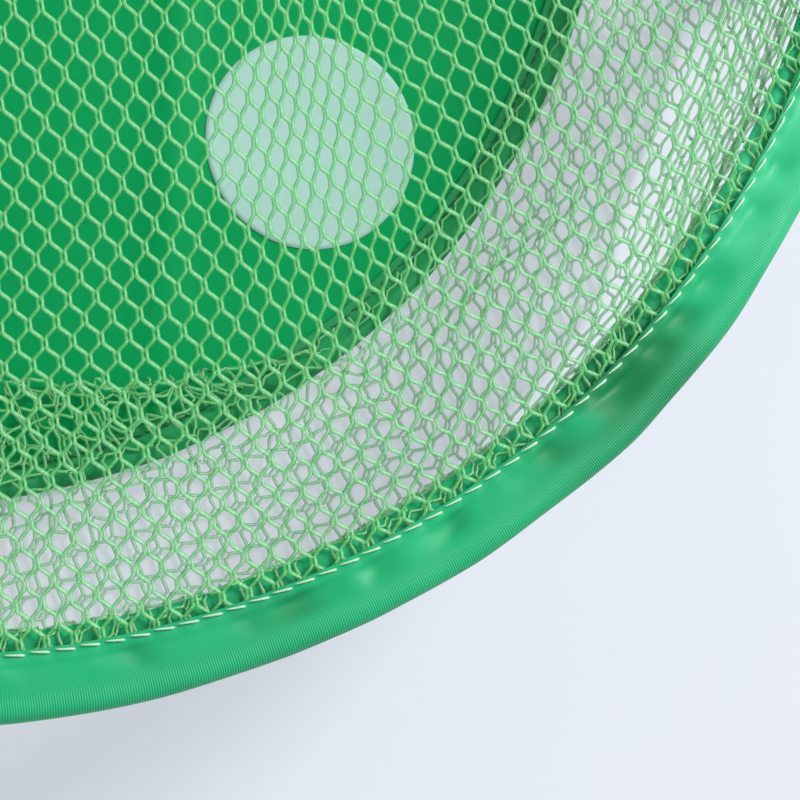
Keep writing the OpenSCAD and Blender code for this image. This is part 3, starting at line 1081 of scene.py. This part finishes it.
        # Painted highlight on the puckers' crests and painted shade in their hollows, plus the
        # painted light and shade along the ring, make the fold mark.
        pucker_paint = self.pucker_paint_share * pucker * np.clip(np.abs(slack) * 1.3, 0, 1)
        return MeshShop.tape("rim_tape", path + [0, PLAN.rim_z], 1, np.radians(turn), lift,
                             kink * outer, TAU * PLAN.hoop_r, pucker_paint + self.painted_light_along(turn))


@dataclass
class BaseTape:
    """The binding round the base ring, with the panel's edge between its layers."""

    steps: int = 560
    upper_z: float = 1.72
    fold: float = 0.22
    wander: float = 0.25

    def build(self) -> Piece:
        """Makes the tape as one closed skin.

        Returns:
            The tape's object.
        """
        centre = (PLAN.base_hoop_r, PLAN.base_roll_z)
        path = np.concatenate([
            level(PLAN.base_layer_in, PLAN.base_hoop_r - 1, PLAN.tape_t / 2, 4),
            rolled(centre, PLAN.base_roll, math.radians(-90), math.radians(118), 16),
            level(PLAN.base_r - 6, PLAN.base_layer_in, self.upper_z, 6)])
        turn = (np.arange(self.steps) / self.steps * TAU)[:, None]
        arc = turn * PLAN.base_r
        free = smoothstep((path[:, 1] - 1.8) / 2)
        fold = seeded_ripple(51, 9, 50, 14)(arc, path[None, :, 0] * 3) * free
        wander = seeded_ripple(52, 4, 200, 90)(arc, 0.0)
        # The folds' height also makes the fold mark, painted as highlight on their crests and as
        # shade in their hollows.
        return MeshShop.tape("base_tape", path, -1, turn, self.fold * fold,
                             self.wander * wander * free, TAU * PLAN.base_r, fold)


@dataclass
class Stitches:
    """A round of lockstitches: short bights of thread that dip into the cloth at both ends."""

    name: str
    radius: float
    height: float
    side: float = 1.0
    pitch: float = PLAN.stitch_pitch
    length: float = 4.3
    thread_r: float = 0.25
    slant: float = 0.13
    crown: float = 0.05
    dip_first: float = 0.62
    dip_last: float = 0.5
    swelling: float = 0.34
    seed: int = 63

    @staticmethod
    def count(radius: float, pitch: float) -> int:
        """Number of whole stitches in a round."""
        return round(TAU * radius / pitch)

    def build(self) -> Piece:
        """Makes the round of stitches as one mesh.

        Returns:
            The stitches' object.
        """
        count = self.count(self.radius, self.pitch)
        draw = np.random.default_rng(self.seed)
        t = np.linspace(-1, 1, 8)[None]
        along = t * (self.length * draw.uniform(0.94, 1.04, count))[:, None] / 2
        angle = (np.arange(count) + 0.5)[:, None] * TAU / count - math.pi + along / self.radius
        sideways = along * (self.slant + draw.uniform(-0.03, 0.03, count)[:, None])
        r = self.radius + sideways + draw.uniform(-0.08, 0.08, count)[:, None]
        sink = np.where(t < 0, self.dip_first, self.dip_last) * np.abs(t) ** 5
        z = self.height + self.side * (self.crown * (1 - t ** 2) - sink)
        lines = on_ring(r, angle, z)
        up = np.broadcast_to([0.0, 0.0, self.side], lines.shape)
        size = self.thread_r * (1 + self.swelling * t) * (1 - 0.2 * np.abs(t) ** 6)
        threads = Threads(lines, up, np.broadcast_to(size, r.shape), along, np.zeros(r.shape),
                          sides=5)
        return threads.strip(self.name, np.ones(r.shape, bool), np.arange(count))


# ---- Ground cloth ----

@dataclass
class GroundCloth:
    """The woven panel that lies on the floor, with its creases, and the spots sewn on it.

    Each crease is a place, a width, a height and a lean.
    """

    thickness: float = 0.6
    overlap: float = 5.0
    floor_gap: float = 0.01
    spot_t: float = 0.28
    spot_gap: float = 0.03
    creased_r: float = 162.0
    lap_r: float = 164.4
    lap_rise: float = 0.65
    creases_along: tuple = ((72.0, 5.0, 2.6, 0.05), (118.0, 9.0, 1.2, -0.1),
                            (12.0, 8.0, 1.6, 0.12), (-70.0, 7.0, 2.0, -0.08),
                            (-8.0, 9.0, 1.2, 0.03))
    creases_across: tuple = ((20.0, 8.0, 1.4, 0.06), (-96.0, 11.0, 0.9, -0.05))

    def lift(self, x: Array, y: Array) -> Array:
        """Lays the panel's creases.

        Args:
            x: Places across, in millimetres.
            y: Places along.

        Returns:
            Height of the panel's underside over the floor there.
        """
        fold = 0.0 * x
        for place, other, creases in ((x, y, self.creases_along), (y, x, self.creases_across)):
            for middle, width, tall, lean in creases:
                fold = fold + tall * np.exp(-((place - middle - lean * other) / width) ** 2)
        broad = seeded_ripple(71, 8, 120, 45)(x, y)
        free = smoothstep((self.creased_r - np.hypot(x, y)) / 22)
        return free * (0.75 * fold + 0.35 * (1 + broad).clip(0, 2))

    def sheet(self, name: str, middle: Sequence, far: Array, steps: int, height: Array,
              thickness: float) -> Piece:
        """Makes a closed round sheet that follows the creases.

        Args:
            name: The object's name.
            middle: Its middle.
            far: Radius of each round of points, from 0, one row each.
            steps: Number of points on a round.
            height: Height of each round's underside over the creases.
            thickness: Thickness of the sheet.

        Returns:
            The sheet's object.
        """
        turn = (np.arange(steps) / steps * TAU)[None]
        x, y = middle[0] + far * np.cos(turn), middle[1] + far * np.sin(turn)
        low = np.stack([x, y, self.lift(x, y) + height], -1)
        column = np.concatenate([low + [0, 0, thickness], low[::-1]], 0)
        points = np.concatenate([column[1:-1].reshape(-1, 3), column[[0, -1], 0]])
        last = len(column) - 3
        ring = np.arange(steps)
        after = (ring + 1) % steps
        row = np.arange(last)[:, None] * steps
        quads = np.stack([row + ring, row + steps + ring, row + steps + after, row + after], -1)
        base = last * steps
        top = np.stack([np.full(steps, len(points) - 2), ring, after], -1)
        under = np.stack([np.full(steps, len(points) - 1), base + after, base + ring], -1)
        return MeshShop.make(name, points, [quads.reshape(-1, 4), top, under])

    def panel(self) -> Piece:
        """Makes the panel, which rises over the binding's lower layer at its edge.

        Returns:
            The panel's object.
        """
        far = np.append(0, np.linspace(1.2, PLAN.base_r - self.overlap, 70))[:, None]
        rise = self.lap_rise * smoothstep((far - self.lap_r) / 2.2)
        return self.sheet("ground_cloth", (0, 0), far, 360, rise + self.floor_gap,
                          self.thickness)

    def spot(self, number: int) -> Piece:
        """Makes one spot, which lies on the panel.

        Args:
            number: Which of the spots, from 1.

        Returns:
            The spot's object.
        """
        low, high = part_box(f"spot_{number}")
        far = np.append(0, np.linspace(0.8, (high.x - low.x) / 2 / MM, 22))[:, None]
        return self.sheet(f"spot_cloth_{number}", (low + high) / 2 / MM, far, 96,
                          self.thickness + self.spot_gap, self.spot_t)


# ---- Legs and wires ----

class NodeFinish(Enum):
    """Which finish each of the frame's own nodes takes, by the start of its name."""

    WIRE = ("rim_hoop", "base_hoop", "rim_ferrule", "base_ferrule", "hinge_pin", "clamp_screws")
    MOULDING = ("clamp_cap", "leg_fork", "leg_knuckle")
    TUBE = ("leg_tube",)
    FOOT = ("leg_foot",)


class Hardware:
    """Dresses the frame's wires, ferrules and legs."""

    def __init__(self) -> None:
        """Makes the four finishes."""
        self.finish = {kind: look.build() for kind, look in (
            (NodeFinish.WIRE, DrawnSteel("spring_steel", shade(196, 198, 202),
                                         shade(120, 122, 124))),
            (NodeFinish.MOULDING, MouldedPlastic("leg_moulding", shade(18, 96, 58),
                                                 shade(30, 112, 70))),
            (NodeFinish.TUBE, MouldedPlastic("leg_tube_coat", shade(38, 40, 42),
                                             shade(58, 60, 62), 0.35, 1400.0)),
            (NodeFinish.FOOT, MouldedPlastic("foot_rubber", shade(22, 23, 23),
                                             shade(40, 40, 40), 0.75, 700.0)))}

    def dress(self, nodes: dict[str, Piece]) -> None:
        """Gives each shown node its finish.

        Args:
            nodes: The frame's nodes by name.
        """
        for kind, material in self.finish.items():
            for name, node in nodes.items():
                if name.startswith(kind.value):
                    node.data.materials.clear()
                    node.data.materials.append(material)
                    LOG.info("%s: %s", name, material.name)


# ---- Camera, light and floor ----

@dataclass(frozen=True)
class ViewPoint:
    """Where the camera stands, as the point it looks at, and its tilt and distance.

    The tilt leans from straight down towards the toward angle, which turns from +Y to +X.
    """

    aim: tuple[float, float, float] = (101.92, -155.33, 75.0)
    tilt: float = 0.2928
    toward: float = 1.2579
    distance: float = 631.6
    lens: float = 135.0
    sensor: float = 36.0

    def build(self) -> None:
        """Makes the camera."""
        forward = Vector((math.sin(self.tilt) * math.sin(self.toward),
                          math.sin(self.tilt) * math.cos(self.toward), -math.cos(self.tilt)))
        up = Vector((0, 1, 0))
        up = (up - forward * up.dot(forward)).normalized()
        data = bpy.data.cameras.new("camera")
        data.lens, data.sensor_width, data.sensor_fit = self.lens, self.sensor, "HORIZONTAL"
        data.clip_start = 0.01
        camera = bpy.data.objects.new("camera", data)
        place = (Vector(self.aim) - forward * self.distance) * MM
        turn = Matrix((forward.cross(up), up, -forward)).transposed().to_4x4()
        camera.matrix_world = Matrix.Translation(place) @ turn
        bpy.context.scene.collection.objects.link(camera)
        bpy.context.scene.camera = camera


@dataclass(frozen=True)
class Lamp:
    """A soft square lamp: where it hangs, the point it faces, its side and its watts."""

    name: str
    place: tuple[float, float, float]
    aim: tuple[float, float, float]
    size: float
    power: float

    def build(self) -> None:
        """Makes the lamp."""
        data = bpy.data.lights.new(self.name, "AREA")
        data.size, data.energy = self.size, self.power
        made = bpy.data.objects.new(self.name, data)
        made.location = self.place
        toward = Vector(self.aim) - Vector(self.place)
        made.rotation_euler = toward.to_track_quat("-Z", "Y").to_euler()
        bpy.context.scene.collection.objects.link(made)


@dataclass(frozen=True)
class Studio:
    """Pale floor, soft window light from the right and an even sky."""

    floor_size: float = 4.0
    floor_z: float = -0.05
    window: Lamp = Lamp("window", (0.93, 0.55, 0.92), (0.10, -0.13, 0.0), 0.42, 18.3)
    room: Lamp = Lamp("room", (-0.7, -0.9, 1.1), (0.05, -0.1, 0.0), 1.0, 5.2)
    sky: float = 0.46
    sky_seen: float = 0.36
    backdrop: float = 0.41

    def build(self) -> None:
        """Makes the floor, the lamps and the world."""
        half = self.floor_size / 2 / MM
        corner = np.array([[x * half, y * half, self.floor_z]
                           for x, y in ((-1, -1), (1, -1), (1, 1), (-1, 1))])
        floor = MeshShop.make("floor", corner, [np.array([[0, 1, 2, 3]])])
        bench = ShaderBench("floor_cloth")
        ray = bench.add("LightPath", {}).outputs
        seen = bench.maths("ADD", ray["Is Camera Ray"], bench.maths(
            "ADD", ray["Is Glossy Ray"], ray["Is Transmission Ray"]))
        bench.feed(Base_Color=bench.blend(bench.noise(6.0), shade(170, 173, 180),
                                          shade(166, 169, 177)),
                   Roughness=0.7, Specular_IOR_Level=0.2, Emission_Color=(0.87, 0.9, 1.0, 1.0),
                   Emission_Strength=bench.times(seen, self.backdrop))
        floor.data.materials.append(bench.material)
        self.window.build()
        self.room.build()
        world = bpy.data.worlds.new("sky")
        world.use_nodes = True
        tree = world.node_tree
        back = tree.nodes["Background"].inputs
        back["Color"].default_value = (0.94, 0.97, 1.0, 1.0)
        ray, seen = (tree.nodes.new(f"ShaderNode{kind}") for kind in ("LightPath", "Math"))
        seen.operation = "MULTIPLY_ADD"
        tree.links.new(ray.outputs["Is Camera Ray"], seen.inputs[0])
        seen.inputs[1].default_value, seen.inputs[2].default_value = self.sky_seen, self.sky
        tree.links.new(seen.outputs[0], back["Strength"])
        bpy.context.scene.world = world


# ---- The whole piece ----

class RoundnetScene:
    """Builds the soft pieces, dresses them and ties them to the frame's bodies."""

    def __init__(self) -> None:
        """Makes the finishes of the soft pieces."""
        # Yarn colours: main, pale, painted shade for the sides, painted shade for the strands that
        # lie away from the light.
        self.yarn = KnitYarn("net_yarn", shade(170, 255, 180), shade(204, 255, 212),
                             shade(106, 214, 124), shade(98, 208, 114)).build()
        self.skirt_yarn = KnitYarn("skirt_yarn", shade(184, 255, 192), shade(216, 255, 220),
                                   shade(88, 214, 118), shade(150, 248, 164)).build()
        # Tape colours: main, painted highlight for the crests, and a darker one for random tone
        # and for painted shade in the hollows.
        self.satin = RibbedTape("rim_satin", shade(24, 180, 118), shade(84, 224, 166),
                                shade(10, 116, 64)).build()
        self.binding = RibbedTape("base_binding_tape", shade(34, 158, 92), shade(44, 168, 102),
                                  shade(20, 124, 70), rib_depth=0.00001, rib_painted_light_share=0.05,
                                  roughness=0.55, sheen=0.05).build()
        self.nylon = WovenCloth("ground_nylon", shade(10, 157, 87), shade(20, 171, 101),
                                gloss=0.04).build()
        self.pale = WovenCloth("spot_print", shade(185, 223, 215), shade(175, 213, 204),
                               roughness=0.6).build()
        self.thread = SewingThread("rim_thread", shade(198, 238, 204),
                                   shade(108, 190, 130)).build()
        self.green_thread = SewingThread("base_thread", shade(22, 116, 66),
                                         shade(16, 92, 52)).build()

    @staticmethod
    def finish(piece: Piece, material: bpy.types.Material, body: Body, *stands_for: str) -> None:
        """Gives a piece its finish and its body.

        Args:
            piece: The piece.
            material: Its finish.
            body: The body that it rides on.
            *stands_for: The nodes that it stands for, which are then hidden.
        """
        piece.data.materials.append(material)
        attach(piece, body.value)
        if stands_for:
            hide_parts(*stands_for)
        LOG.info("%s: %d faces, rides on %s", piece.name, len(piece.data.polygons), body.value)

    @staticmethod
    def declare(piece: Piece, flat: tuple[float, float], held: str, rests_on: str) -> None:
        """Takes a strip of net, whose threads cover part of its cut, and does nothing with it.

        Args:
            piece: The strip; not used.
            flat: Its flat size; not used.
            held: How it is held; not used.
            rests_on: The piece that holds it; not used.
        """

    def nets(self) -> None:
        """Builds the two nets, and passes each with the flat area that its yarn covers to declare,
        which does nothing with it.
        """
        across = 2 * 0.212
        for piece in TopNet().build():
            self.finish(piece, self.yarn, Body.RIM, "top_net")
            self.declare(piece, (across, across / 5), "stretched", "rim_tape")
        skirt, hem = SkirtNet().build()
        for piece in skirt:
            self.finish(piece, self.skirt_yarn, Body.RIM, "skirt_net")
            self.declare(piece, (0.40, 0.092), "hung", "rim_tape")
            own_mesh(piece)
        self.finish(hem, self.skirt_yarn, Body.BASE)
        self.declare(hem, (1.10, 0.03), "gathered", "base_tape")

    def tapes(self) -> None:
        """Builds the two tapes and their stitching."""
        rim = RimTape().build()
        self.finish(rim, self.satin, Body.RIM, "rim_binding")
        base = BaseTape().build()
        self.finish(base, self.binding, Body.BASE, "base_binding")
        for place, side, seed in (("top", 1.0, 61), ("under", -1.0, 62)):
            seam = Stitches(f"rim_stitches_{place}", PLAN.stitch_r,
                            PLAN.rim_z + side * PLAN.seam_z, side, seed=seed).build()
            self.finish(seam, self.thread, Body.RIM, "rim_stitching")
        seam = Stitches("base_stitches", PLAN.base_seam_r, PLAN.base_seam_z, pitch=3.2,
                        length=2.9).build()
        self.finish(seam, self.green_thread, Body.BASE, "base_stitching")

    def ground(self) -> None:
        """Builds the ground panel and its spots."""
        cloth = GroundCloth()
        panel = cloth.panel()
        self.finish(panel, self.nylon, Body.BASE, "ground_panel")
        for number in range(1, 5):
            spot = cloth.spot(number)
            self.finish(spot, self.pale, Body.BASE, f"spot_{number}")


def main() -> None:
    """Builds the scene in order: view, light, soft pieces, then the frame's own nodes."""
    logging.basicConfig(level=logging.INFO, format="%(name)s %(message)s")
    bpy.ops.object.select_all(action="DESELECT")
    bpy.context.scene.view_settings.view_transform = "Standard"
    ViewPoint().build()
    Studio().build()
    scene = RoundnetScene()
    scene.tapes()
    scene.nets()
    scene.ground()
    Hardware().dress(frame["nodes"])
    bpy.context.view_layer.update()


if __name__ == "__main__":
    main()
